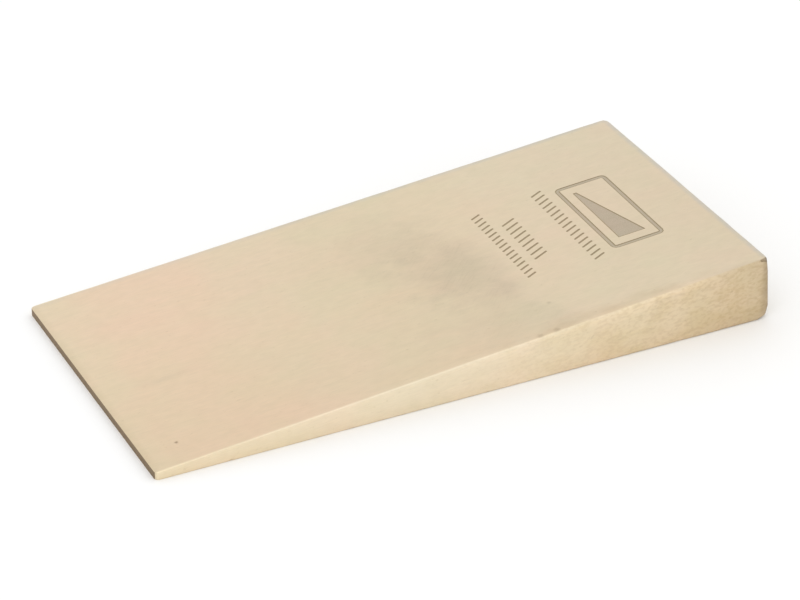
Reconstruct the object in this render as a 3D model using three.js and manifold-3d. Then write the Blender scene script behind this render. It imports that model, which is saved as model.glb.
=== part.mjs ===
// A solid ground bronze wedge, the non-sparking kind that is driven by hand into a joint to part it.
//
// The whole tool is one piece of metal. It is drawn from the side, with its cross edges rounded, and
// stretched across its width with the long edges broken, and then its four upright corners are rounded.
//
// Millimetres, +Z up. The wedge lies on Z = 0 with the middle of its base at the origin. +X points to
// the thick end, which is struck, and -X to the thin tip. The wedge is the same on both sides of Y = 0.

import * as THREE from "three";
import { mergeVertices } from "three/addons/utils/BufferGeometryUtils.js";
import Module from "manifold-3d";

// Driving dimensions.
const LENGTH = 100;
const WIDTH = 50;
const BACK_HEIGHT = 10.7;
const TIP_THICKNESS = 1.25;
// How far the foot of the struck face stands out past its top edge.
const BACK_LEAN = 0.7;
// Radius of the edges that run across the wedge, at its tip and its back.
const CROSS_EDGE_RADIUS = 0.45;
// Radius of the edges that run along both sides.
const LONG_EDGE_RADIUS = 0.35;
// Radius of the four upright corners.
const UPRIGHT_CORNER_RADIUS = 1.0;

// Straight steps in each rounded corner.
const CORNER_STEPS = 6;
const LONG_EDGE_STEPS = 4;
// How far the block that rounds the upright corners reaches past the wedge, above and below.
const BLOCK_MARGIN = 1;
// Points closer together than this are one point.
const MERGE_DISTANCE = 1e-5;

const wasm = await Module();
wasm.setup();

// A closed outline whose corners are all rounded with one radius. The corners run anticlockwise.
function roundedOutline(corners, radius) {
  const outline = new THREE.Shape();
  corners.forEach((corner, i) => {
    const before = corners.at(i - 1).clone().sub(corner).normalize();
    const after = corners[(i + 1) % corners.length].clone().sub(corner).normalize();
    const halfAngle = Math.acos(before.dot(after)) / 2;
    const bisector = before.clone().add(after).normalize();
    const centre = corner.clone().addScaledVector(bisector, radius / Math.sin(halfAngle));
    const trim = radius / Math.tan(halfAngle);
    const start = corner.clone().addScaledVector(before, trim).sub(centre);
    const end = corner.clone().addScaledVector(after, trim).sub(centre);
    outline.absarc(centre.x, centre.y, radius, start.angle(), end.angle(), false);
  });
  return outline;
}

// The wedge seen from its -Y side: X to the right and Z up.
function sideOutline() {
  const corners = [
    new THREE.Vector2(-LENGTH / 2, 0),
    new THREE.Vector2(LENGTH / 2, 0),
    new THREE.Vector2(LENGTH / 2 - BACK_LEAN, BACK_HEIGHT),
    new THREE.Vector2(-LENGTH / 2, TIP_THICKNESS),
  ];
  return roundedOutline(corners, CROSS_EDGE_RADIUS);
}

// The wedge seen from above: X to the right and Y up.
function planOutline() {
  const corners = [
    new THREE.Vector2(-LENGTH / 2, -WIDTH / 2),
    new THREE.Vector2(LENGTH / 2, -WIDTH / 2),
    new THREE.Vector2(LENGTH / 2, WIDTH / 2),
    new THREE.Vector2(-LENGTH / 2, WIDTH / 2),
  ];
  return roundedOutline(corners, UPRIGHT_CORNER_RADIUS);
}

// The side outline stretched across the width, with both of its ends rounded in.
function taperedBar() {
  const bar = new THREE.ExtrudeGeometry(sideOutline(), {
    depth: WIDTH - 2 * LONG_EDGE_RADIUS,
    curveSegments: CORNER_STEPS,
    bevelEnabled: true,
    bevelThickness: LONG_EDGE_RADIUS,
    bevelSize: LONG_EDGE_RADIUS,
    bevelOffset: -LONG_EDGE_RADIUS,
    bevelSegments: LONG_EDGE_STEPS,
  });
  bar.rotateX(Math.PI / 2);
  bar.translate(0, WIDTH / 2 - LONG_EDGE_RADIUS, 0);
  return bar;
}

// An upright block with the wedge's plan, a little taller than the wedge.
function planBlock() {
  const block = new THREE.ExtrudeGeometry(planOutline(), {
    depth: BACK_HEIGHT + 2 * BLOCK_MARGIN,
    curveSegments: CORNER_STEPS,
    bevelEnabled: false,
  });
  block.translate(0, 0, -BLOCK_MARGIN);
  return block;
}

// A closed geometry as a solid that can be cut.
function toSolid(geometry) {
  geometry.deleteAttribute("normal");
  geometry.deleteAttribute("uv");
  const merged = mergeVertices(geometry, MERGE_DISTANCE);
  const mesh = new wasm.Mesh({
    numProp: 3,
    vertProperties: new Float32Array(merged.attributes.position.array),
    triVerts: new Uint32Array(merged.index.array),
  });
  return new wasm.Manifold(mesh);
}

// A solid as a geometry that can be drawn.
function toGeometry(solid) {
  const mesh = solid.getMesh();
  const geometry = new THREE.BufferGeometry();
  geometry.setAttribute("position", new THREE.BufferAttribute(mesh.vertProperties, 3));
  geometry.setIndex(new THREE.BufferAttribute(mesh.triVerts, 1));
  geometry.computeVertexNormals();
  return geometry;
}

function wedgeBody() {
  const material = new THREE.MeshStandardMaterial({
    color: 0xd6c49c,
    roughness: 0.42,
    metalness: 1,
    flatShading: true,
  });
  const body = new THREE.Mesh(
    toGeometry(toSolid(taperedBar()).intersect(toSolid(planBlock()))),
    material,
  );
  body.name = "wedge_body";
  return body;
}

const wedge = new THREE.Group();
wedge.add(wedgeBody());

export default wedge;
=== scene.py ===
"""A solid ground bronze wedge, finished over its CAD body.

The wedge is one piece of metal, so it is one object here: a mesh with worn edges, nicks, pits and
shallow laser marks, in a ground bronze finish. It lies on a pale floor under soft studio light.
The CAD frame is used throughout: +X points to the thick end that is struck, +Y across the wedge and
+Z up. The wedge is modelled in millimetres and scaled to metres when its mesh is done; the floor,
the lights and the camera are placed in metres.
"""

import logging
import math
from dataclasses import dataclass
from enum import Enum
from typing import Any, Iterable, Sequence

import bmesh
import bpy
from mathutils import Matrix, Vector, noise


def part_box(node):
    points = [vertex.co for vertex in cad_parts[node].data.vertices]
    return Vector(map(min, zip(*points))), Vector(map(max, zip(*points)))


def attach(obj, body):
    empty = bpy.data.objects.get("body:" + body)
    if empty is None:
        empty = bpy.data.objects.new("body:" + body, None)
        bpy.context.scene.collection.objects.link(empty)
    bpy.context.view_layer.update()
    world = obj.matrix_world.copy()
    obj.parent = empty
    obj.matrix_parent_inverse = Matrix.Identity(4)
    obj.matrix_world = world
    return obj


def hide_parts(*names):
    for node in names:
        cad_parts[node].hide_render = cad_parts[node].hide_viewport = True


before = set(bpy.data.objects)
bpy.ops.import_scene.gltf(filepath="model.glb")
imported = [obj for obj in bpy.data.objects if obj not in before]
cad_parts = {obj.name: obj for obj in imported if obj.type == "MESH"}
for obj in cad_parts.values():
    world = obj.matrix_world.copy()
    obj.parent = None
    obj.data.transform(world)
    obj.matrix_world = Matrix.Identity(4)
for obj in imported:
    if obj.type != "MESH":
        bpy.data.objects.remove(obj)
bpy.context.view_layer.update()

LOG = logging.getLogger("wedge")
MM = 0.001
TOUCHING = 1e-4
AXES = (Vector((1, 0, 0)), Vector((0, 1, 0)), Vector((0, 0, 1)))
CAD_NODE = "wedge_body"
# The colour attribute on the mesh's points that carries the edge tints: rubbing and grime, with painted
# highlight, painted reflection and painted shade.
EDGE_TINT = "edge_tint"

# The least cosine between two directions that makes a face or a line count as lying along one.
TOWARDS = 0.8
LEVEL = 0.9
FACING = 0.9999
STRAIGHT = 0.99999

Mesh = bmesh.types.BMesh
Face = bmesh.types.BMFace
Vert = bmesh.types.BMVert
Socket = bpy.types.NodeSocket
Triple = tuple[float, float, float]
Colour = tuple[float, float, float]
Ramp = tuple[tuple[float, Colour], ...]


def clamp(value: float, low: float, high: float) -> float:
    """The value, kept between low and high."""
    return max(low, min(high, value))


def mix(start: float, end: float, share: float) -> float:
    """The number that lies the given share of the way from start to end."""
    return start + (end - start) * share


def spaced(low: float, high: float, step: float) -> list[float]:
    """Even places from low to high, both included, no further apart than step."""
    count = math.ceil((high - low) / step)
    return [mix(low, high, i / count) for i in range(count + 1)]


def faces_in(geometry: Iterable[Any]) -> list[Face]:
    """The faces among what an operator returns."""
    return [part for part in geometry if isinstance(part, Face)]


def slice_faces(bm: Mesh, faces: Iterable[Face], place: Vector, normal: Vector) -> list[Face]:
    """Cuts some faces of a mesh along a plane.

    Args:
        bm: The mesh.
        faces: The faces that are cut.
        place: A point of the plane.
        normal: The way that the plane looks.

    Returns:
        The faces afterwards, on both sides of the cut.
    """
    parts = dict.fromkeys(part for face in faces for part in (face, *face.edges, *face.verts))
    cut = bmesh.ops.bisect_plane(bm, geom=list(parts), dist=TOUCHING, plane_co=place, plane_no=normal)
    return faces_in(cut["geom"])


def round_off(bm: Mesh, parts: Sequence[Any], affect: str, radius: float, steps: int) -> None:
    """Rounds corners or edges of a mesh.

    Args:
        bm: The mesh.
        parts: The corners or edges.
        affect: What they are, as the bevel operator names them.
        radius: The radius of the rounding.
        steps: How many flats the rounding has.
    """
    bmesh.ops.bevel(
        bm, geom=list(parts), affect=affect, offset=radius, segments=steps, profile=0.5, material=-1
    )


def place_object(name: str, data: bpy.types.ID) -> bpy.types.Object:
    """Makes an object and puts it in the scene.

    Args:
        name: The object's name.
        data: The mesh, light or camera that it shows.

    Returns:
        The object.
    """
    piece = bpy.data.objects.new(name, data)
    bpy.context.scene.collection.objects.link(piece)
    return piece


@dataclass(frozen=True)
class WedgeShape:
    """The wedge's flat faces, where they would meet in sharp edges.

    Attributes:
        tip_x: Where the tip is.
        back_x: Where the foot of the struck face is.
        half_width: Half of the width.
        back_height: The height of the thick end.
        tip_height: The height of the tip.
        back_lean: How much further out the struck face's foot stands than its top.
        upright_radius: The radius of the upright corners.
        corner_shade_reach_above: How far the painted shade reaches from the struck corner by the sloped
            face.
        corner_shade_reach_below: How far it reaches by the base.
    """

    tip_x: float
    back_x: float
    half_width: float
    back_height: float
    tip_height: float = 1.25
    back_lean: float = 0.7
    upright_radius: float = 0.7
    corner_shade_reach_above: float = 1.3
    corner_shade_reach_below: float = 2.0

    @classmethod
    def from_frame(cls) -> "WedgeShape":
        """The shape whose faces lie on the CAD body's box."""
        low, high = (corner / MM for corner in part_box(CAD_NODE))
        return cls(tip_x=low.x, back_x=high.x, half_width=high.y, back_height=high.z)

    @property
    def top_back_x(self) -> float:
        """Where the sloped face ends at the thick end."""
        return self.back_x - self.back_lean

    @property
    def slope(self) -> float:
        """The angle between the sloped face and the base, in radians."""
        run = self.top_back_x - self.tip_x
        return math.atan2(self.back_height - self.tip_height, run)

    def top_height(self, x: float) -> float:
        """The height of the sloped face above the base at x."""
        return self.tip_height + (x - self.tip_x) * math.tan(self.slope)

    def on_top(self, x: float, y: float, turn: float = 0.0) -> Matrix:
        """A frame that lies on the sloped face, for shapes drawn flat.

        Args:
            x: The place along the wedge.
            y: The place across the wedge.
            turn: How far the frame is turned on the face, in radians.

        Returns:
            The matrix from the flat drawing to the face.
        """
        place = Matrix.Translation((x, y, self.top_height(x)))
        return place @ Matrix.Rotation(-self.slope, 4, "Y") @ Matrix.Rotation(turn, 4, "Z")

    def nearness_to_struck_corner(self, point: Vector) -> float:
        """How near a point lies to the near upright corner of the thick end.

        Args:
            point: A point of the wedge.

        Returns:
            A number from 0 away from the corner to 1 on it, which falls off more slowly by the base.
        """
        up = point.z / self.back_height
        end_x = self.back_x - self.back_lean * up
        along = 1 - (end_x - point.x) / mix(self.corner_shade_reach_below, self.corner_shade_reach_above, up)
        across = 1 - (point.y + self.half_width) / self.upright_radius
        return clamp(along, 0.0, 1.0) * clamp(3 * across, 0.0, 1.0)

    def near_edge(self, point: Vector, on_top: bool) -> Vector | None:
        """The nearest place of the sharp edge that runs round the sloped face or the base.

        Args:
            point: A point of the wedge.
            on_top: True for the sloped face's edge, and False for the base's.

        Returns:
            The place, or None for a point further inside the face than the upright corners' radius.
        """
        end_x = self.top_back_x if on_top else self.back_x
        radius = self.upright_radius
        core_x = clamp(point.x, self.tip_x + radius, end_x - radius)
        core_y = clamp(point.y, radius - self.half_width, self.half_width - radius)
        out = Vector((point.x - core_x, point.y - core_y))
        if out.length < TOUCHING:
            return None
        out *= radius / out.length
        x, y = core_x + out.x, core_y + out.y
        return Vector((x, y, self.top_height(x) if on_top else 0.0))


class Finish(Enum):
    """The material slots of the wedge, in their order on the mesh."""

    GROUND_ALONG = 0
    GROUND_ACROSS = 1
    GROUND_BASE = 2
    # The tip face's dark tint is painted shade, for the shaded floor that it reflects; its rough grainless
    # finish is the cut face's own.
    CUT_TIP = 3
    MARK_FIELD = 4
    MARK_LINE = 5


class Stencil:
    """A convex flat shape on the sloped face, kept as the sides that cut it out."""

    CORNER_STEPS = 3

    def __init__(self, bm: Mesh, place: Matrix) -> None:
        """Takes its sides from a one-faced mesh, which it then frees.

        Args:
            bm: The shape, drawn flat.
            place: The matrix from the flat drawing to the wedge.
        """
        bmesh.ops.transform(bm, matrix=place, verts=bm.verts[:])
        bm.normal_update()
        bm.faces.ensure_lookup_table()
        face = bm.faces[0]
        self.middle = face.calc_center_median()
        self.reach = max((vert.co - self.middle).length for vert in face.verts)
        self.sides: list[tuple[Vector, Vector]] = []
        for loop in face.loops:
            run = loop.link_loop_next.vert.co - loop.vert.co
            self.sides.append((loop.vert.co.copy(), face.normal.cross(run).normalized()))
        bm.free()

    @classmethod
    def bar(cls, height: float, length: float, corner: float, place: Matrix) -> "Stencil":
        """A rectangle with rounded corners.

        Args:
            height: Its size along the wedge.
            length: Its size across the wedge.
            corner: The radius of its corners.
            place: The matrix from the flat drawing to the wedge.

        Returns:
            The stencil.
        """
        bm = bmesh.new()
        bmesh.ops.create_grid(bm, x_segments=1, y_segments=1, size=0.5)
        bmesh.ops.scale(bm, vec=(height, length, 1.0), verts=bm.verts[:])
        round_off(bm, bm.verts[:], "VERTICES", corner, cls.CORNER_STEPS)
        return cls(bm, place)

    @classmethod
    def wedge_side(cls, height: float, length: float, tip: float, place: Matrix) -> "Stencil":
        """The outline of a wedge seen from its side, with its tip at the far side.

        Args:
            height: Its height at the thick end, drawn along the wedge.
            length: Its length, drawn across the wedge.
            tip: Its height at the tip.
            place: The matrix from the flat drawing to the wedge.

        Returns:
            The stencil.
        """
        bm = bmesh.new()
        bmesh.ops.create_grid(bm, x_segments=1, y_segments=1, size=0.5)
        for vert in bm.verts:
            if vert.co.x > 0 and vert.co.y > 0:
                vert.co.x = tip / height - 0.5
        bmesh.ops.scale(bm, vec=(height, length, 1.0), verts=bm.verts[:])
        return cls(bm, place)

    def cut(self, bm: Mesh, faces: Iterable[Face]) -> list[Face]:
        """Cuts the shape's outline into some faces.

        Args:
            bm: The wedge's mesh.
            faces: The faces of the wedge that the shape may lie on.

        Returns:
            The faces that are then inside the shape.
        """
        inside = [face for face in faces if self._may_touch(face)]
        for place, inward in self.sides:
            both = slice_faces(bm, inside, place, inward)
            inside = [face for face in both if (face.calc_center_median() - place).dot(inward) > 0]
        return inside

    def _may_touch(self, face: Face) -> bool:
        """Tells whether a face comes near enough to be cut.

        Args:
            face: The face.

        Returns:
            True if it does.
        """
        middle = face.calc_center_median()
        size = max((vert.co - middle).length for vert in face.verts)
        return (middle - self.middle).length < self.reach + size


@dataclass(frozen=True)
class HatchRow:
    """A row of short slanted strokes across the wedge.

    Attributes:
        x: The row's place along the wedge, from the middle of the marks.
        length: The row's length across the wedge.
        height: How tall the strokes are, along the wedge.
        count: How many strokes there are.
        stroke: The width of one stroke.
        slant: How far each stroke leans, in radians.
        stroke_corner: The radius of a stroke's corners, in its widths.
    """

    x: float
    length: float
    height: float
    count: int
    stroke: float = 0.34
    slant: float = math.radians(24)
    stroke_corner: float = 0.4

    def stencils(self, middle: Matrix) -> list[Stencil]:
        """Draws the strokes of the row.

        Args:
            middle: The matrix from the flat drawing of the marks to the wedge.

        Returns:
            The strokes' stencils.
        """
        found = []
        for i in range(self.count):
            y = (i / (self.count - 1) - 0.5) * self.length
            place = middle @ Matrix.Translation((self.x, y, 0.0)) @ Matrix.Rotation(self.slant, 4, "Z")
            corner = self.stroke * self.stroke_corner
            found.append(Stencil.bar(self.height, self.stroke, corner, place))
        return found


@dataclass(frozen=True)
class MakersMarks:
    """The frosted laser marks near the thick end: a framed wedge sign and three hatched rows.

    The marks are drawn flat about one middle point, with x towards the thick end, and are set on
    the sloped face a little out of square.

    Attributes:
        middle_x: Where their middle is along the wedge.
        middle_y: Where their middle is across the wedge.
        turn: How far they are turned on the face, in radians.
        depth: How deep they are.
        outline: The width of the dark line round the floor of a wide mark.
        corner_room: The least distance between a corner of a wide mark and the next point.
        sign_x: Where the frame and the sign are, from the middle.
        frame_height: The frame's size along the wedge.
        frame_length: Its size across the wedge.
        frame_stroke: The width of its line.
        frame_corner: The radius of its corners.
        sign_height: The height of the wedge in the sign.
        sign_length: Its length.
        sign_tip: Its height at the tip.
        rows: The hatched rows.
    """

    middle_x: float = 28.3
    middle_y: float = 0.1
    turn: float = math.radians(-0.9)
    depth: float = 0.035
    outline: float = 0.17
    corner_room: float = 0.2
    sign_x: float = 7.5
    frame_height: float = 9.0
    frame_length: float = 20.0
    frame_stroke: float = 0.75
    frame_corner: float = 0.95
    sign_height: float = 4.6
    sign_length: float = 15.0
    sign_tip: float = 0.6
    rows: tuple[HatchRow, ...] = (
        HatchRow(x=0.3, length=21.0, height=2.3, count=17),
        HatchRow(x=-7.1, length=11.0, height=2.8, count=9),
        HatchRow(x=-10.7, length=19.2, height=1.9, count=17),
    )

    def engrave(self, bm: Mesh, shape: WedgeShape) -> None:
        """Cuts every mark into the sloped face.

        Args:
            bm: The wedge's mesh, before its faces are bent.
            shape: The wedge's shape.
        """
        middle = shape.on_top(self.middle_x, self.middle_y, self.turn)
        normal = (middle.to_3x3() @ Vector((0, 0, 1))).normalized()
        place = middle @ Matrix.Translation((self.sign_x, 0.0, 0.0))
        inset = 2 * self.frame_stroke
        corner = self.frame_corner - self.frame_stroke
        hole = Stencil.bar(self.frame_height - inset, self.frame_length - inset, corner, place)
        rim = Stencil.bar(self.frame_height, self.frame_length, self.frame_corner, place)
        inside = set(hole.cut(bm, self._open_faces(bm, normal)))
        band = [face for face in rim.cut(bm, self._open_faces(bm, normal)) if face not in inside]
        self._sink(bm, band, normal, outlined=True)
        sign = Stencil.wedge_side(self.sign_height, self.sign_length, self.sign_tip, place)
        self._sink(bm, sign.cut(bm, self._open_faces(bm, normal)), normal, outlined=True)
        for row in self.rows:
            for stencil in row.stencils(middle):
                faces = stencil.cut(bm, self._open_faces(bm, normal))
                self._sink(bm, faces, normal, outlined=False)

    @staticmethod
    def _open_faces(bm: Mesh, normal: Vector) -> list[Face]:
        """The faces of the sloped face that no mark has been cut into yet.

        Args:
            bm: The wedge's mesh.
            normal: The way that the sloped face looks.

        Returns:
            The faces.
        """
        bm.normal_update()
        plain = Finish.GROUND_ALONG.value
        return [f for f in bm.faces if f.material_index == plain and f.normal.dot(normal) > FACING]

    def _sink(self, bm: Mesh, faces: list[Face], normal: Vector, outlined: bool) -> None:
        """Sinks one mark into the face and gives its floor and walls their slots.

        Args:
            bm: The wedge's mesh.
            faces: The mark's faces, still flush with the sloped face.
            normal: The way that the sloped face looks.
            outlined: True for a wide mark, whose floor has a darker line round it.
        """
        if outlined:
            self._clear_corners(faces)
        sunk = bmesh.ops.extrude_face_region(bm, geom=faces)
        bmesh.ops.delete(bm, geom=[face for face in faces if face.is_valid], context="FACES")
        verts = [part for part in sunk["geom"] if isinstance(part, Vert)]
        floor = faces_in(sunk["geom"])
        bmesh.ops.translate(bm, vec=-self.depth * normal, verts=verts)
        for face in {face for vert in verts for face in vert.link_faces}:
            face.material_index = Finish.MARK_LINE.value
        if outlined:
            floor = self._merge(bm, floor)
            bmesh.ops.inset_region(bm, faces=floor, thickness=self.outline, use_even_offset=True)
            for face in floor:
                face.material_index = Finish.MARK_FIELD.value

    def _clear_corners(self, faces: list[Face]) -> None:
        """Slides points that crowd the corners of a mark's outline further along its sides.

        Args:
            faces: The mark's faces, still flush with the sloped face.
        """
        inside = set(faces)
        ends: dict[Vert, list[bmesh.types.BMEdge]] = {}
        for edge in dict.fromkeys(edge for face in faces for edge in face.edges):
            if sum(face in inside for face in edge.link_faces) == 1:
                for vert in edge.verts:
                    ends.setdefault(vert, []).append(edge)
        room = self.corner_room
        for vert, edges in ends.items():
            beside = [edge.other_vert(vert).co for edge in edges]
            near, far = sorted(beside, key=lambda place: (place - vert.co).length)
            offset, run = vert.co - near, far - near
            straight = offset.normalized().dot(run.normalized()) > STRAIGHT
            if straight and offset.length < room and run.length > 2 * room:
                vert.co = near + run.normalized() * room

    @staticmethod
    def _merge(bm: Mesh, floor: list[Face]) -> list[Face]:
        """Joins the faces of a mark's floor into as few as can be.

        Args:
            bm: The wedge's mesh.
            floor: The faces.

        Returns:
            The joined faces.
        """
        rim = dict.fromkeys(vert for face in floor for vert in face.verts)
        edges = dict.fromkeys(edge for face in floor for edge in face.edges)
        inner = [edge for edge in edges if all(face in floor for face in edge.link_faces)]
        bmesh.ops.dissolve_edges(bm, edges=inner, use_verts=False, use_face_split=False)
        faces = dict.fromkeys(face for vert in rim if vert.is_valid for face in vert.link_faces)
        return [face for face in faces if all(vert in rim for vert in face.verts)]


@dataclass(frozen=True)
class Dent:
    """A small hollow: a casting pit in a face, or a nick in an edge.

    Attributes:
        place: The middle of the dent, on the wedge's surface.
        radius: How far it reaches.
        depth: How deep it is.
        dirt_and_shade: How dark its bottom is made, with grime and painted shade, and past 1 how far that
            darkening spreads up its sides.
    """

    place: Vector
    radius: float
    depth: float
    dirt_and_shade: float


@dataclass(frozen=True)
class EdgeTints:
    """The tints on the edges, as factors on the bronze's own colour: rubbing and grime, with painted
    highlight, painted reflection and painted shade.

    Attributes:
        worn_highlight: The near long edge of the sloped face, rubbed bright, with a painted highlight.
        dulled: The end of that edge by the thick end, slightly darker where its painted highlight stops,
            and the edges of the base.
        grey_reflection: The far long edge and the struck edge of the sloped face, greyed: a painted grey
            reflection.
        tip: The edge of the sloped face at the tip, darkened: painted shade.
        corner_shade: The near upright corner of the thick end, darkened: painted shade, standing in for the
            dark reflection in its rounding.
        pit: The darkening in the bottom of a pit or nick: grime and painted shade.
        least_worn_highlight: The near long edge at the tip, as a factor on all three colours: its least
            rubbing and painted highlight.
        worn_highlight_full: How far along the wedge, from 0 to 1, that edge is fully rubbed bright and
            fully highlighted.
        dulled_from: How far along it starts to dull.
        dulled_over: How much further along it is fully dulled.
        grey_reflection_least: How much of that painted reflection there is at the tip.
        grey_reflection_full: How far along the wedge it is full.
    """

    worn_highlight: Colour = (1.11, 1.11, 1.12)
    dulled: Colour = (0.97, 0.97, 0.97)
    grey_reflection: Colour = (0.85, 0.92, 1.06)
    tip: Colour = (0.92, 0.92, 0.90)
    corner_shade: Colour = (0.58, 0.55, 0.54)
    pit: Colour = (0.22, 0.17, 0.12)
    least_worn_highlight: float = 1.01
    worn_highlight_full: float = 0.8
    dulled_from: float = 0.86
    dulled_over: float = 0.06
    grey_reflection_least: float = 0.4
    grey_reflection_full: float = 0.6

    def round_top(self, shape: WedgeShape, place: Vector) -> Colour:
        """The tint at a place on the edge of the sloped face.

        Args:
            shape: The wedge's shape.
            place: The place on the sharp edge.

        Returns:
            The tint.
        """
        # Painted shade on the edge at the tip.
        if place.x < shape.tip_x + shape.upright_radius / 2:
            return self.tip
        along = (place.x - shape.tip_x) / (shape.back_x - shape.tip_x)
        # Painted grey reflection on the far and struck edges, weaker at the tip.
        if place.y > 0 or place.x > shape.top_back_x - shape.upright_radius:
            grey_reflection_share = mix(self.grey_reflection_least, 1.0, min(along / self.grey_reflection_full, 1.0))
            return tuple(mix(1.0, tint, grey_reflection_share) for tint in self.grey_reflection)
        # Rubbing and a painted highlight on the near edge, slightly darker by the thick end.
        worn_highlight_share = min(along / self.worn_highlight_full, 1.0) ** 2
        dulling = clamp((along - self.dulled_from) / self.dulled_over, 0.0, 1.0)
        worn_highlight = [mix(self.least_worn_highlight, tint, worn_highlight_share) for tint in self.worn_highlight]
        return tuple(mix(bright, dull, dulling) for bright, dull in zip(worn_highlight, self.dulled))


@dataclass(frozen=True)
class WedgeBody:
    """The whole wedge: one solid, ground all over, with broken edges, marks, pits and nicks.

    Attributes:
        shape: Its flat faces.
        marks: The laser marks.
        dents: The pits and nicks.
        tints: The colours of its edges.
        upright_steps: How many flats round an upright corner.
        edge_radius: The widest rounding of the edges round the sloped face and the base.
        edge_steps: How many flats round it.
        edge_slack: The distance at which a point still counts as rounded, in those radii.
        tip_edge_share: How much of that rounding there is at the tip.
        long_edge_share: How much of it there is at the thick end of the long edges.
        edge_unevenness: How much the rounding varies.
        edge_wave: The length over which it varies.
        top_corner_radius: The radius of the thick end's upper corners.
        base_corner_radius: The radius of its lower corners.
        cell: The size of the cells that the faces are cut into.
        band_margin: How far from the edges the first cells start.
        side_levels: The heights at which the sides are cut.
        wave_height: How far the faces are out of true.
        wave_length: The length over which they are.
        wave_seed: Another number gives other waves.
        dent_margin: How far round a dent the small cells reach, in its radii.
        dent_steps: How many of them there are to a radius.
        dent_raggedness: How uneven a dent's outline is.
        dent_lobes: How quickly the outline varies round the dent.
        crease: The angle from which an edge shades sharp.
    """

    shape: WedgeShape
    marks: MakersMarks
    dents: tuple[Dent, ...]
    tints: EdgeTints = EdgeTints()
    upright_steps: int = 6
    edge_radius: float = 0.6
    edge_steps: int = 6
    edge_slack: float = 1.02
    tip_edge_share: float = 0.2
    long_edge_share: float = 0.75
    edge_unevenness: float = 0.22
    edge_wave: float = 4.0
    top_corner_radius: float = 0.9
    base_corner_radius: float = 1.25
    cell: float = 1.2
    band_margin: float = 1.3
    side_levels: tuple[float, ...] = (2.2, 4.2, 6.2, 8.2)
    wave_height: float = 0.03
    wave_length: float = 22.0
    wave_seed: int = 5
    dent_margin: float = 1.2
    dent_steps: int = 3
    dent_raggedness: float = 0.25
    dent_lobes: float = 1.7
    crease: float = math.radians(35)

    def build(self) -> bpy.types.Object:
        """Models the wedge.

        Returns:
            Its object.
        """
        bm = bmesh.new()
        self._blank(bm)
        self._round_uprights(bm)
        self._break_edges(bm)
        self._divide(bm)
        self.marks.engrave(bm, self.shape)
        self._ease_edges(bm)
        self._knock_corners(bm)
        self._waver(bm)
        for dent in self.dents:
            self._press_dent(bm, dent)
        self._assign_finishes(bm)
        return self._to_object(bm)

    def _blank(self, bm: Mesh) -> None:
        """Makes the sharp-edged wedge from a cube.

        Args:
            bm: The wedge's mesh.
        """
        shape = self.shape
        for vert in bmesh.ops.create_cube(bm, size=1.0)["verts"]:
            at_back, on_top = vert.co.x > 0, vert.co.z > 0
            back_x = shape.top_back_x if on_top else shape.back_x
            x = back_x if at_back else shape.tip_x
            y = math.copysign(shape.half_width, vert.co.y)
            vert.co = (x, y, shape.top_height(x) if on_top else 0.0)

    def _round_uprights(self, bm: Mesh) -> None:
        """Rounds the four upright corners.

        Args:
            bm: The wedge's mesh.
        """
        half = self.shape.half_width
        runs = {edge: (edge.verts[0].co - edge.verts[1].co).to_2d().length for edge in bm.edges}
        uprights = [edge for edge, run in runs.items() if run < half]
        round_off(bm, uprights, "EDGES", self.shape.upright_radius, self.upright_steps)

    def _break_edges(self, bm: Mesh) -> None:
        """Rounds the edges round the sloped face and the base.

        Args:
            bm: The wedge's mesh.
        """
        bm.normal_update()
        flats = [face for face in bm.faces if abs(face.normal.z) > LEVEL]
        edges = dict.fromkeys(edge for face in flats for edge in face.edges)
        round_off(bm, edges, "EDGES", self.edge_radius, self.edge_steps)

    def _divide(self, bm: Mesh) -> None:
        """Cuts the long faces into cells, so that they can carry the grinding's unevenness.

        Args:
            bm: The wedge's mesh.
        """
        shape = self.shape
        margin = self.band_margin
        rows = (
            spaced(shape.tip_x + margin, shape.top_back_x - margin, self.cell),
            spaced(margin - shape.half_width, shape.half_width - margin, self.cell),
            self.side_levels,
        )
        for axis, places in zip(AXES, rows):
            for place in places:
                parts = bm.verts[:] + bm.edges[:] + bm.faces[:]
                bmesh.ops.bisect_plane(
                    bm, geom=parts, dist=TOUCHING, plane_co=axis * place, plane_no=axis
                )

    def _ease_edges(self, bm: Mesh) -> None:
        """Narrows the rounding towards the tip, makes it uneven, and tints the edges and the struck corner:
        rubbing, with painted highlight, painted reflection and painted shade.

        Args:
            bm: The wedge's mesh.
        """
        shape = self.shape
        reach = self.edge_radius * self.edge_slack
        clean = Vector((1.0, 1.0, 1.0, 1.0))
        corner_shade = Vector((*self.tints.corner_shade, 1.0))
        tint = bm.verts.layers.float_color.new(EDGE_TINT)
        for vert in bm.verts:
            # Painted shade on the near upright corner of the thick end, standing in for the dark reflection
            # in its rounding.
            corner_shade_share = shape.nearness_to_struck_corner(vert.co)
            vert[tint] = clean.lerp(corner_shade, corner_shade_share)
            for on_top in (True, False):
                level = shape.top_height(vert.co.x) if on_top else 0.0
                if abs(vert.co.z - level) > reach:
                    continue
                sharp = shape.near_edge(vert.co, on_top)
                if sharp is None or (vert.co - sharp).to_2d().length > reach:
                    continue
                along = (sharp.x - shape.tip_x) / (shape.back_x - shape.tip_x)
                full = 1.0 if sharp.x > shape.top_back_x - reach else self.long_edge_share
                share = mix(self.tip_edge_share, full, along)
                share *= 1 + self.edge_unevenness * noise.noise(sharp / self.edge_wave)
                vert.co = sharp.lerp(vert.co, min(share, 1.0))
                if corner_shade_share == 0.0:
                    colour = self.tints.round_top(shape, sharp) if on_top else self.tints.dulled
                    vert[tint] = (*colour, 1.0)
                break

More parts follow.
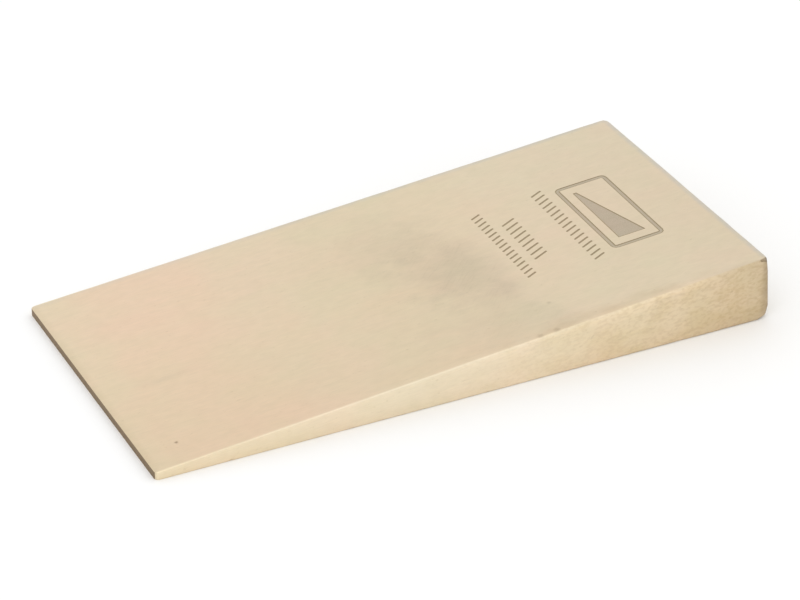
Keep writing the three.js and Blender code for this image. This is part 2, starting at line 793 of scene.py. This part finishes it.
    def _knock_corners(self, bm: Mesh) -> None:
        """Rounds the corners of the thick end like small balls, as knocks leave them.

        Args:
            bm: The wedge's mesh.
        """
        shape = self.shape
        for on_top, radius in ((True, self.top_corner_radius), (False, self.base_corner_radius)):
            end_x = shape.top_back_x if on_top else shape.back_x
            level = shape.top_height(end_x) if on_top else 0.0
            for side in (-1, 1):
                out = Vector((1, side, 1 if on_top else -1))
                middle = Vector((end_x, side * shape.half_width, level)) - radius * out
                for vert in bm.verts:
                    offset = vert.co - middle
                    inside = min(part * sign for part, sign in zip(offset, out))
                    if inside <= 0 or offset.length <= radius:
                        continue
                    share = min(2 * inside / radius, 1.0)
                    share *= share * (3 - 2 * share)
                    vert.co = vert.co.lerp(middle + offset.normalized() * radius, share)

    def _waver(self, bm: Mesh) -> None:
        """Bends the faces by a few hundredths of a millimetre, and leaves the base flat.

        Args:
            bm: The wedge's mesh.
        """
        noise.seed_set(self.wave_seed)
        for vert in bm.verts:
            lift = clamp(vert.co.z / self.shape.tip_height, 0.0, 1.0)
            sway = noise.noise_vector(vert.co / self.wave_length) * self.wave_height
            vert.co += sway * lift

    def _press_dent(self, bm: Mesh, dent: Dent) -> None:
        """Cuts the surface round a dent into small cells, pushes them in and darkens them with grime and
        painted shade.

        Args:
            bm: The wedge's mesh.
            dent: The pit or nick.
        """
        reach = self.dent_margin * dent.radius
        around = [vert for vert in bm.verts if (vert.co - dent.place).length < reach + 2 * self.cell]
        faces = list(dict.fromkeys(face for vert in around for face in vert.link_faces))
        for axis in AXES:
            for step in spaced(-reach, reach, dent.radius / self.dent_steps):
                near = [face for face in faces if self._is_near(face, dent.place, reach)]
                faces = slice_faces(bm, near, dent.place + axis * step, axis)
        bm.normal_update()
        verts = dict.fromkeys(vert for face in faces for vert in face.verts)
        near = [vert for vert in verts if (vert.co - dent.place).length < dent.radius]
        inward = -sum((vert.normal for vert in near), Vector()).normalized()
        tint = bm.verts.layers.float_color[EDGE_TINT]
        dirt_and_shade_colour = Vector((*self.tints.pit, 1.0))
        for vert in near:
            offset = vert.co - dent.place
            sway = noise.noise(offset.normalized() * self.dent_lobes + dent.place)
            ragged = dent.radius * (1 + self.dent_raggedness * sway)
            share = clamp(1 - (offset.length / ragged) ** 2, 0.0, 1.0)
            vert.co += inward * dent.depth * share**1.5
            # Grime and painted shade in the hollow.
            vert[tint] = Vector(vert[tint]).lerp(dirt_and_shade_colour, min(share * dent.dirt_and_shade, 1.0))

    @staticmethod
    def _is_near(face: Face, place: Vector, reach: float) -> bool:
        """True if the box round a face comes within reach of a place."""
        spans = zip(*(vert.co for vert in face.verts))
        return all(min(span) - reach < value < max(span) + reach for span, value in zip(spans, place))

    def _assign_finishes(self, bm: Mesh) -> None:
        """Gives the tip, the struck face and the base their finishes, and marks the creases.

        Args:
            bm: The wedge's mesh.
        """
        bm.normal_update()
        for face in bm.faces:
            face.smooth = True
            if face.material_index != Finish.GROUND_ALONG.value:
                continue
            if face.normal.x < -TOWARDS:
                face.material_index = Finish.CUT_TIP.value
            elif face.normal.x > TOWARDS:
                face.material_index = Finish.GROUND_ACROSS.value
            elif face.normal.z < -TOWARDS:
                face.material_index = Finish.GROUND_BASE.value
        for edge in bm.edges:
            edge.smooth = edge.calc_face_angle(0.0) < self.crease

    def _to_object(self, bm: Mesh) -> bpy.types.Object:
        """Turns the finished mesh into an object in metres, whose flat faces shade flat.

        Args:
            bm: The wedge's mesh, which is then freed.

        Returns:
            The object.
        """
        bmesh.ops.scale(bm, vec=(MM, MM, MM), verts=bm.verts[:])
        mesh = bpy.data.meshes.new("bronze_wedge")
        bm.to_mesh(mesh)
        bm.free()
        piece = place_object("bronze_wedge", mesh)
        weighted = piece.modifiers.new("flat_faces", "WEIGHTED_NORMAL")
        weighted.mode = "FACE_AREA"
        weighted.keep_sharp = True
        return piece


class Graph:
    """A material's nodes, made by short calls. Lengths are in millimetres."""

    def __init__(self, name: str, tilt: float) -> None:
        """Starts an empty material.

        Args:
            name: The material's name.
            tilt: How far the pattern space is turned about Y, so that it lies along a face.
        """
        self.material = bpy.data.materials.new(name)
        self.material.use_nodes = True
        self.tree = self.material.node_tree
        self.tree.nodes.clear()
        place = self.tree.nodes.new("ShaderNodeTexCoord").outputs["Object"]
        space = self.node("ShaderNodeMapping", {"Vector": place, "Rotation": (0.0, tilt, 0.0)})
        space.inputs["Scale"].default_value = (1 / MM, 1 / MM, 1 / MM)
        self.space = space.outputs[0]
        self.along, self.across, _ = self.node("ShaderNodeSeparateXYZ", {0: self.space}).outputs

    def node(self, kind: str, inputs: dict[str | int, Any], **settings: Any) -> bpy.types.Node:
        """Makes a node.

        Args:
            kind: The node's type.
            inputs: What goes into its sockets: another node's output, or a plain value.
            settings: The node's own properties.

        Returns:
            The node.
        """
        made = self.tree.nodes.new(kind)
        for name, value in settings.items():
            setattr(made, name, value)
        for name, value in inputs.items():
            if isinstance(value, Socket):
                self.tree.links.new(value, made.inputs[name])
            else:
                made.inputs[name].default_value = value
        return made

    def cells(self, size: Triple, turn: float = 0.0, middle: Triple = (0.0, 0.0, 0.0)) -> Socket:
        """The pattern space, measured in cells of the given size.

        Args:
            size: The size of a cell along, across and off the face.
            turn: How far the cells are turned on the face, in radians.
            middle: The place that becomes zero.

        Returns:
            The coordinates.
        """
        inputs = {"Vector": self.space, "Location": middle, "Rotation": (0.0, 0.0, turn), "Scale": size}
        return self.node("ShaderNodeMapping", inputs, vector_type="TEXTURE").outputs[0]

    def cloud(self, size: Triple, detail: float = 2.0, turn: float = 0.0, seed: float = 0.0) -> Socket:
        """Smooth noise in cells of the given size.

        Args:
            size: The size of a cell along, across and off the face.
            detail: How many finer layers the noise has.
            turn: How far the cells are turned on the face, in radians.
            seed: Another number gives another pattern.

        Returns:
            A value between 0 and 1 that is mostly near 0.5.
        """
        place = self.cells(size, turn, (seed * size[0], seed * size[1], 0.0))
        return self.node("ShaderNodeTexNoise", {"Vector": place, "Scale": 1.0, "Detail": detail}).outputs[0]

    def levels(
        self, value: Socket, start: float, end: float, low: float = 0.0, high: float = 1.0
    ) -> Socket:
        """Stretches a value from start..end to low..high, and holds it at the ends.

        Args:
            value: The value.
            start: Where the result is low.
            end: Where the result is high.
            low: The result at the start.
            high: The result at the end.

        Returns:
            The stretched value.
        """
        inputs = {"Value": value, "From Min": start, "From Max": end, "To Min": low, "To Max": high}
        return self.node("ShaderNodeMapRange", inputs, interpolation_type="SMOOTHSTEP").outputs[0]

    def sum(self, first: Any, second: Any) -> Socket:
        """Adds two values."""
        return self.node("ShaderNodeMath", {0: first, 1: second}, operation="ADD").outputs[0]

    def product(self, first: Any, second: Any) -> Socket:
        """Multiplies two values."""
        return self.node("ShaderNodeMath", {0: first, 1: second}, operation="MULTIPLY").outputs[0]

    def blend(self, share: Any, first: Any, second: Any, way: str = "MIX") -> Socket:
        """Mixes two colours.

        Args:
            share: How much of the second colour there is.
            first: A colour.
            second: A colour.
            way: How they are mixed, as the Mix node names it.

        Returns:
            The mixed colour.
        """
        mixer = self.tree.nodes.new("ShaderNodeMix")
        mixer.data_type = "RGBA"
        mixer.blend_type = way
        for index, value in ((0, share), (6, first), (7, second)):
            if isinstance(value, Socket):
                self.tree.links.new(value, mixer.inputs[index])
            else:
                mixer.inputs[index].default_value = value if index == 0 else (*value, 1.0)
        return mixer.outputs[2]

    def tint(self, colour: Any, tint: Any, share: Any = 1.0) -> Socket:
        """Multiplies a colour by a tint, as far as the share says."""
        return self.blend(share, colour, tint, "MULTIPLY")

    def lighten(self, colour: Socket, factor: Socket) -> Socket:
        """Multiplies a colour by a number."""
        return self.node("ShaderNodeVectorMath", {0: colour, "Scale": factor}, operation="SCALE").outputs[0]

    def even(self, value: Any, start: float, end: float) -> Socket:
        """Stretches a value from start..end to 0..1 in a straight line, and holds it at the ends."""
        inputs = {"Value": value, "From Min": start, "From Max": end}
        return self.node("ShaderNodeMapRange", inputs).outputs[0]

    def ramp(self, value: Socket, stops: Ramp) -> Socket:
        """Turns a value into a colour.

        Args:
            value: The value, from 0 to 1.
            stops: The places on the ramp, and the colour at each.

        Returns:
            The colour.
        """
        made = self.node("ShaderNodeValToRGB", {"Fac": value})
        elements = made.color_ramp.elements
        for place, colour in stops[2:]:
            elements.new(place).color = (*colour, 1.0)
        for element, (place, colour) in zip(elements, sorted(stops)):
            element.position = place
            element.color = (*colour, 1.0)
        return made.outputs[0]

    def shade(self, colour: Any, roughness: Any, height: Any, depth: float) -> bpy.types.Material:
        """Finishes the material as bare metal.

        Args:
            colour: The metal's colour.
            roughness: Its roughness.
            height: The fine relief, from 0 to 1.
            depth: How deep the relief is.

        Returns:
            The material.
        """
        relief = self.node("ShaderNodeBump", {"Height": height, "Distance": depth * MM, "Strength": 1.0})
        shader = self.node(
            "ShaderNodeBsdfPrincipled",
            {"Base Color": colour, "Metallic": 1.0, "Roughness": roughness, "Normal": relief.outputs[0]},
        )
        self.node("ShaderNodeOutputMaterial", {"Surface": shader.outputs[0]})
        return self.material


@dataclass(frozen=True)
class SoftSpot:
    """A patch with no sharp edge, fullest in its middle.

    Attributes:
        middle: Its middle.
        size: Its reach along, across and off the face.
        strength: How full it is in its middle.
    """

    middle: Triple
    size: Triple
    strength: float

    def share(self, graph: Graph, ragged: Socket) -> Socket:
        """How full the patch is at each place.

        Args:
            graph: The material that it is made in.
            ragged: What makes its outline uneven, in reaches.

        Returns:
            A value from 0 to the patch's strength.
        """
        place = graph.cells(self.size, 0.0, self.middle)
        distance = graph.node("ShaderNodeVectorMath", {0: place}, operation="LENGTH").outputs["Value"]
        return graph.levels(graph.sum(distance, ragged), 1.4, 0.0, 0.0, self.strength)


@dataclass(frozen=True)
class BronzeTone:
    """How the bronze's colour wanders over the wedge, the same under every finish.

    Attributes:
        half_length: Half of the wedge's length, over which the tones along it are spread.
        half_width: Half of the wedge's width.
        along: The colour of the sloped face from the tip to the thick end.
        drift: How far that colour is moved to and fro along the face.
        drift_patch: The size of the patches that are moved.
        side: The colour of the sides from the tip to the thick end, darker and browner towards the thick
            end: partly the bronze's own tone, partly painted shade.
        side_border: How far from the edge the sides' colour starts, and where it is full.
        near: The tint of the sloped face's near side at the tip.
        near_fade: Where along the wedge that tint starts, and where it is full.
        far: The tint of its far side.
        smudges: The soft dark patches that lie together on the sloped face.
        smudge_tint: Their tint where they are full.
        smudge_border: Where along the wedge they stop, on its middle line.
        border_lean: How much further along they stop for each step towards the near side.
        border_width: How far on either side of that border they fade.
        border_wander: How far the border wanders.
        stains: The soft coloured patches on the sloped face, each with its tint where it is full.
        patches: Pairs of tints that take turns over the face, each with the size of its patches.
        mottles: The sizes of the dark flecks on the sides, and their tints.
        mottle_fade: Where along the wedge the flecks start to strengthen, and where they are full.
        mottle_least: How strong they are by the tip.
    """

    half_length: float
    half_width: float
    drift: float = 5.0
    drift_patch: Triple = (11.0, 16.0, 30.0)
    along: Ramp = (
        (0.0, (0.772, 0.640, 0.460)),
        (0.07, (0.789, 0.627, 0.455)),
        (0.2, (0.790, 0.623, 0.455)),
        (0.34, (0.765, 0.628, 0.459)),
        (0.45, (0.736, 0.619, 0.444)),
        (0.62, (0.735, 0.625, 0.449)),
        (0.75, (0.736, 0.627, 0.461)),
        (1.0, (0.718, 0.607, 0.450)),
    )
    # The sides' darkening towards the thick end is partly the bronze's own browner tone and partly painted
    # shade, standing in for the darker reflection there.
    side: Ramp = (
        (0.0, (0.850, 0.720, 0.515)),
        (0.4, (0.840, 0.725, 0.555)),
        (0.58, (0.845, 0.725, 0.545)),
        (0.7, (0.800, 0.680, 0.485)),
        (0.85, (0.772, 0.644, 0.456)),
        (0.95, (0.685, 0.560, 0.372)),
        (1.0, (0.630, 0.498, 0.340)),
    )
    side_border: tuple[float, float] = (0.45, 0.1)
    near: Colour = (0.97, 0.962, 0.948)
    near_fade: tuple[float, float] = (25.0, -35.0)
    far: Colour = (1.010, 1.018, 1.032)
    smudges: tuple[SoftSpot, ...] = (
        SoftSpot((10.5, -0.8, 7.0), (10.5, 11.0, 100.0), 1.0),
        SoftSpot((3.5, 10.0, 7.0), (8.0, 9.0, 100.0), 0.45),
        SoftSpot((12.0, -18.0, 7.0), (13.0, 13.0, 100.0), 0.5),
        SoftSpot((-39.0, -4.0, 2.0), (5.5, 0.9, 100.0), 0.36),
    )
    smudge_tint: Colour = (0.865, 0.868, 0.875)
    smudge_border: float = 14.2
    border_lean: float = 0.18
    border_width: float = 2.6
    border_wander: float = 1.8
    stains: tuple[tuple[SoftSpot, Colour], ...] = (
        (SoftSpot((1.0, -24.0, 7.0), (15.0, 5.0, 100.0), 1.0), (1.02, 0.985, 0.985)),
        (SoftSpot((-3.0, -4.0, 7.0), (9.0, 3.0, 100.0), 0.7), (1.02, 0.985, 0.985)),
        (SoftSpot((24.0, -24.4, 8.0), (15.0, 2.0, 100.0), 1.0), (0.90, 0.86, 0.81)),
    )
    patches: tuple[tuple[Triple, Colour, Colour], ...] = (
        ((34.0, 22.0, 30.0), (0.985, 1.0, 0.985), (1.015, 0.992, 0.995)),
        ((8.0, 5.0, 7.0), (0.992, 1.003, 0.992), (1.010, 0.994, 0.998)),
        ((3.4, 1.6, 2.0), (0.989, 0.991, 0.986), (1.009, 1.009, 1.012)),
        ((1.7, 0.8, 1.0), (0.989, 0.989, 0.987), (1.010, 1.010, 1.012)),
    )
    mottles: tuple[tuple[Triple, Colour], ...] = (
        ((0.8, 0.8, 0.45), (0.915, 0.89, 0.86)),
        ((5.0, 5.0, 3.0), (0.95, 0.94, 0.885)),
    )
    mottle_fade: tuple[float, float] = (-15.0, 45.0)
    mottle_least: float = 0.15

    def colour(self, graph: Graph) -> Socket:
        """The wandering colour.

        Args:
            graph: The material that it is made in.

        Returns:
            The colour.
        """
        along, across = graph.along, graph.across
        off_middle = graph.node("ShaderNodeMath", {0: across}, operation="ABSOLUTE").outputs[0]
        on_side = graph.levels(off_middle, *(self.half_width - inset for inset in self.side_border))
        lag = graph.levels(graph.cloud(self.drift_patch), 0.25, 0.75, -self.drift, self.drift)
        share = graph.even(graph.sum(along, lag), -self.half_length, self.half_length)
        colour = graph.ramp(share, self.along)
        tipward = graph.levels(along, *self.near_fade)
        colour = graph.tint(colour, self.far, graph.even(across, 0.0, self.half_width))
        nearness = graph.even(across, 0.0, -self.half_width)
        colour = graph.tint(colour, self.near, graph.product(tipward, nearness))
        ragged = graph.levels(graph.cloud((5.0, 2.5, 4.0), detail=3.0, seed=4.0), 0.2, 0.8, -0.4, 0.4)
        for stain, tint in self.stains:
            colour = graph.tint(colour, tint, stain.share(graph, ragged))
        colour = graph.tint(colour, self.smudge_tint, self.smudge(graph))
        # Partly painted shade: the sides darken towards the thick end.
        side = graph.ramp(graph.even(along, -self.half_length, self.half_length), self.side)
        towards_end = graph.levels(along, *self.mottle_fade, self.mottle_least, 1.0)
        for index, (size, tint) in enumerate(self.mottles):
            fleck = graph.levels(graph.cloud(size, detail=3.0, seed=9.0 + index), 0.42, 0.66)
            side = graph.tint(side, tint, graph.product(fleck, towards_end))
        colour = graph.blend(on_side, colour, side)
        for index, (size, first, second) in enumerate(self.patches):
            patch = graph.levels(graph.cloud(size, detail=1.5, seed=3.0 + index), 0.3, 0.7)
            colour = graph.tint(colour, graph.blend(patch, first, second))
        return colour

    def smudge(self, graph: Graph) -> Socket:
        """Where the smudges are.

        Args:
            graph: The material that they are made in.

        Returns:
            The smudges' strength, from 0 to 1.
        """
        along, across = graph.along, graph.across
        ragged = graph.levels(graph.cloud((5.0, 4.0, 6.0), detail=3.0, seed=5.0), 0.2, 0.8, -0.3, 0.3)
        total: Any = 0.0
        for spot in self.smudges:
            total = graph.sum(total, spot.share(graph, ragged))
        patch = graph.cloud((7.0, 6.0, 6.0), detail=3.0, seed=6.0)
        wander = graph.levels(patch, 0.2, 0.8, -self.border_wander, self.border_wander)
        past = graph.sum(graph.sum(along, graph.product(across, self.border_lean)), wander)
        stop, width = self.smudge_border, self.border_width
        border = graph.levels(past, stop + width, stop - width)
        return graph.product(graph.even(total, 0.0, 1.0), border)


@dataclass(frozen=True)
class Scratches:
    """Many thin marks that run one way.

    Attributes:
        size: How long, wide and deep the cells of the pattern are.
        turn: How far the marks are turned on the face, in radians.
        rarity: How rare the marks are: the pattern's value where they start.
        tint: The bronze's tint where a mark is full.
    """

    size: Triple
    turn: float
    rarity: float
    tint: Colour

    def draw(self, graph: Graph, colour: Socket, share: Any = 1.0) -> Socket:
        """Draws the marks over a colour.

        Args:
            graph: The material that they are made in.
            colour: The colour.
            share: How strong the marks are.

        Returns:
            The marked colour.
        """
        pattern = graph.cloud(self.size, detail=2.0, turn=self.turn, seed=self.rarity * 20)
        mark = graph.levels(pattern, self.rarity, self.rarity + 0.1)
        return graph.tint(colour, self.tint, graph.product(mark, share))


@dataclass(frozen=True)
class GroundBronze:
    """Bronze ground on a belt: short fine grain, specks, a few scratches, and tinted edges.

    Attributes:
        name: The material's name.
        tone: The bronze's wandering colour.
        tilt: How far the face is turned about Y.
        grain: The size of the grain's cells.
        contrast: How much the grain lightens and darkens the colour.
        roughness: The roughness of the metal.
        roughness_spread: How much the grain varies it.
        grain_depth: How deep the grain is.
        marks: The specks and scratches all over.
        scuffs: The crossing scratches in the smudge.
    """

    name: str
    tone: BronzeTone
    tilt: float
    grain: Triple
    contrast: float = 0.025
    roughness: float = 0.4
    roughness_spread: float = 0.04
    grain_depth: float = 0.0015
    marks: tuple[Scratches, ...] = (
        Scratches((0.9, 0.4, 0.5), 0.0, 0.66, (0.93, 0.92, 0.90)),
        Scratches((13.0, 0.14, 0.2), 0.05, 0.64, (0.965, 0.963, 0.96)),
        Scratches((8.0, 0.16, 0.2), -0.16, 0.67, (1.03, 1.03, 1.03)),
    )
    scuffs: tuple[Scratches, ...] = (
        Scratches((3.5, 0.22, 0.3), 0.75, 0.56, (0.96, 0.957, 0.95)),
        Scratches((3.5, 0.2, 0.3), -0.7, 0.56, (1.03, 1.03, 1.03)),
    )

    def material(self) -> bpy.types.Material:
        """Makes the material.

        Returns:
            The material.
        """
        graph = Graph(self.name, self.tilt)
        fine = graph.cloud(self.grain, detail=3.0)
        lines = graph.levels(fine, 0.25, 0.75, 1 - self.contrast, 1 + self.contrast)
        colour = self.tone.colour(graph)
        colour = graph.lighten(colour, lines)
        for mark in self.marks:
            colour = mark.draw(graph, colour)
        smudge = self.tone.smudge(graph)
        for scuff in self.scuffs:
            colour = scuff.draw(graph, colour, smudge)
        # The edge tints: rubbing and grime, with painted highlight on the near edge, painted grey
        # reflection on the far and struck edges, and painted shade at the tip edge, the struck corner and
        # in the pits.
        edges = graph.node("ShaderNodeAttribute", {}, attribute_name=EDGE_TINT).outputs["Color"]
        broken = graph.levels(graph.cloud((1.6, 1.6, 1.6), detail=3.0, seed=7.0), 0.3, 0.6, 0.55, 1.0)
        colour = graph.blend(broken, colour, graph.tint(colour, edges))
        usual, spread = self.roughness, self.roughness_spread
        rough = graph.levels(fine, 0.3, 0.7, usual - spread, usual + spread)
        return graph.shade(colour, rough, fine, self.grain_depth)


@dataclass(frozen=True)
class LaserFrost:
    """Bronze with no ground grain, rough and darker than the ground face.

    Attributes:
        name: The material's name.
        tone: The bronze's wandering colour.
        tilt: How far the face is turned about Y.
        tint: The tint over that colour.
        roughness: The roughness of the metal.
        roughness_spread: How much the speckles vary it.
        speckle: The size of the speckles.
        speckle_depth: How deep they are.
    """

    name: str
    tone: BronzeTone
    tilt: float
    tint: Colour
    roughness: float = 0.62
    roughness_spread: float = 0.06
    speckle: float = 0.16
    speckle_depth: float = 0.01

    def material(self) -> bpy.types.Material:
        """Makes the material.

        Returns:
            The material.
        """
        graph = Graph(self.name, self.tilt)
        speckle = graph.cloud((self.speckle, self.speckle, self.speckle), detail=2.0)
        colour = graph.tint(self.tone.colour(graph), self.tint)
        colour = graph.lighten(colour, graph.levels(speckle, 0.25, 0.75, 0.9, 1.1))
        usual, spread = self.roughness, self.roughness_spread
        rough = graph.levels(speckle, 0.2, 0.8, usual - spread, usual + spread)
        return graph.shade(colour, rough, speckle, self.speckle_depth)


@dataclass(frozen=True)
class SoftBox:
    """A large square studio light.

    Attributes:
        name: What the light is called.
        towards: The direction from the wedge to the light.
        distance: How far away it is, in metres.
        size: The length of its side, in metres.
        brightness: How bright its face is, where 1 is the white of the surroundings.
    """

    name: str
    towards: Triple
    distance: float
    size: float
    brightness: float

    def build(self) -> bpy.types.Object:
        """Hangs the light so that it faces the wedge.

        Returns:
            The light's object.
        """
        light = bpy.data.lights.new(self.name, "AREA")
        light.shape = "SQUARE"
        light.size = self.size
        light.energy = self.brightness * math.pi * self.size**2
        piece = place_object(self.name, light)
        direction = Vector(self.towards).normalized()
        piece.location = direction * self.distance
        piece.rotation_euler = direction.to_track_quat("Z", "Y").to_euler()
        return piece


@dataclass(frozen=True)
class StudioCamera:
    """A long lens that looks down on the wedge from its near side, past the tip.

    Attributes:
        azimuth: How far the camera stands round from straight in front, in radians.
        elevation: How far above the horizon it stands, in radians.
        roll: How far it is tipped about its own line of sight, in radians.
        distance: How far it stands from the wedge, in metres.
        lens: The lens's focal length, in millimetres on a 36 mm sensor.
        aim_height: The height on the wedge's middle line that the framing is measured from.
        slide: How far the camera is slid to its right, in metres.
        rise: How far the camera is slid up, in metres.
    """

    azimuth: float = math.radians(-25.92)
    elevation: float = math.radians(30.94)
    roll: float = math.radians(-0.06)
    distance: float = 0.4751
    lens: float = 142.25
    aim_height: float = 0.006
    slide: float = 0.00004
    rise: float = -0.00275

    def build(self) -> bpy.types.Object:
        """Sets the camera up and makes it the scene's own.

        Returns:
            The camera's object.
        """
        back = Vector((
            math.sin(self.azimuth) * math.cos(self.elevation),
            -math.cos(self.azimuth) * math.cos(self.elevation),
            math.sin(self.elevation),
        ))
        level_right = Vector((math.cos(self.azimuth), math.sin(self.azimuth), 0.0))
        level_up = back.cross(level_right)
        right = math.cos(self.roll) * level_right + math.sin(self.roll) * level_up
        up = math.cos(self.roll) * level_up - math.sin(self.roll) * level_right
        camera = bpy.data.cameras.new("studio_camera")
        camera.lens = self.lens
        camera.sensor_width = 36.0
        camera.clip_start = 0.01
        camera.clip_end = 50.0
        piece = place_object("studio_camera", camera)
        aim = Vector((0.0, 0.0, self.aim_height))
        place = aim + self.distance * back + self.slide * right + self.rise * up
        turn = Matrix((right, up, back)).transposed().to_4x4()
        piece.matrix_world = Matrix.Translation(place) @ turn
        bpy.context.scene.camera = piece
        return piece


@dataclass(frozen=True)
class Studio:
    """A pale floor, even white surroundings and soft lights.

    Attributes:
        floor_size: The length of the floor's side, in metres.
        floor_colour: The floor's colour.
        surroundings: How bright the surroundings are.
        lights: The lights.
    """

    floor_size: float = 12.0
    floor_colour: Colour = (0.93, 0.93, 0.925)
    surroundings: float = 1.0
    lights: tuple[SoftBox, ...] = (
        SoftBox("overhead_softbox", (-0.35, -0.45, 1.0), 1.1, 0.6, 1.5),
    )

    def build(self) -> None:
        """Lays the floor, lights the scene and sets up the camera."""
        self._floor()
        self._surroundings()
        for light in self.lights:
            light.build()
        StudioCamera().build()
        bpy.context.scene.view_settings.view_transform = "Standard"

    def _floor(self) -> None:
        """Lays the floor at the wedge's base."""
        bm = bmesh.new()
        bmesh.ops.create_grid(bm, x_segments=8, y_segments=8, size=self.floor_size / 2)
        mesh = bpy.data.meshes.new("studio_floor")
        bm.to_mesh(mesh)
        bm.free()
        floor = place_object("studio_floor", mesh)
        material = bpy.data.materials.new("studio_floor")
        material.use_nodes = True
        shader = material.node_tree.nodes["Principled BSDF"]
        shader.inputs["Base Color"].default_value = (*self.floor_colour, 1.0)
        shader.inputs["Roughness"].default_value = 0.9
        shader.inputs["Specular IOR Level"].default_value = 0.1
        mesh.materials.append(material)

    def _surroundings(self) -> None:
        """Makes the world an even white."""
        world = bpy.data.worlds.new("studio_surroundings")
        world.use_nodes = True
        background = world.node_tree.nodes["Background"]
        background.inputs["Color"].default_value = (1.0, 1.0, 1.0, 1.0)
        background.inputs["Strength"].default_value = self.surroundings
        bpy.context.scene.world = world


def pits_and_nicks(shape: WedgeShape) -> tuple[Dent, ...]:
    """The small hollows in the wedge's faces and edges.

    Args:
        shape: The wedge's shape.

    Returns:
        The dents in the sloped face, those in the near side, and the chips along the near edge by
        the thick end.
    """
    near = -shape.half_width
    on_top = (
        (-44.6, -19.7, 0.34, 0.08, 0.62),
        (16.0, -17.4, 0.45, 0.02, 0.22),
        (10.9, near + 0.5, 0.6, 0.05, 0.3),
        (13.6, near + 0.6, 0.6, 0.05, 0.25),
    )
    # The chips by the struck corner are darkened well up their sides: grime and painted shade.
    chips = ((48.0, 0.1, 0.26), (48.35, 0.13, 0.34), (48.75, 0.25, 0.42), (49.1, 0.4, 0.5))
    return (
        *(Dent(Vector((x, y, shape.top_height(x))), *sizes) for x, y, *sizes in on_top),
        Dent(Vector((43.0, near, 6.4)), 0.25, 0.05, 0.26),
        Dent(Vector((-38.5, near, 0.1)), 0.3, 0.06, 0.44),
        *(
            Dent(Vector((x, near + inset, shape.top_height(x) - inset)), radius, 0.06, 1.8)
            for x, inset, radius in chips
        ),
    )


def bronze_finishes(shape: WedgeShape) -> list[bpy.types.Material]:
    """Makes the wedge's materials.

    Args:
        shape: The wedge's shape.

    Returns:
        The materials, in the order of the Finish slots.
    """
    tone = BronzeTone(half_length=shape.back_x, half_width=shape.half_width)
    finishes = {
        Finish.GROUND_ALONG: GroundBronze("ground_bronze_along", tone, shape.slope, (2.6, 0.2, 0.2)),
        Finish.GROUND_ACROSS: GroundBronze("ground_bronze_across", tone, 0.0, (3.0, 3.0, 0.2)),
        Finish.GROUND_BASE: GroundBronze("ground_bronze_base", tone, 0.0, (2.6, 0.2, 0.2)),
        # The tip's dark tint is painted shade, for the shaded floor that the tip face reflects.
        Finish.CUT_TIP: LaserFrost("cut_bronze_tip_painted_shade", tone, 0.0, (0.355, 0.32, 0.288), speckle=0.3),
        Finish.MARK_FIELD: LaserFrost("laser_frost_field", tone, shape.slope, (0.75, 0.765, 0.80)),
        Finish.MARK_LINE: LaserFrost("laser_frost_line", tone, shape.slope, (0.57, 0.55, 0.49)),
    }
    return [finishes[slot].material() for slot in Finish]


def main() -> None:
    """Builds the wedge and the studio."""
    logging.basicConfig(level=logging.INFO, format="%(name)s: %(message)s")
    shape = WedgeShape.from_frame()
    wedge = WedgeBody(shape, MakersMarks(), pits_and_nicks(shape)).build()
    for material in bronze_finishes(shape):
        wedge.data.materials.append(material)
    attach(wedge, "root")
    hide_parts(CAD_NODE)
    LOG.info("%s: %d faces", wedge.name, len(wedge.data.polygons))
    Studio().build()
    LOG.info("studio: floor, lights and camera")


if __name__ == "__main__":
    main()
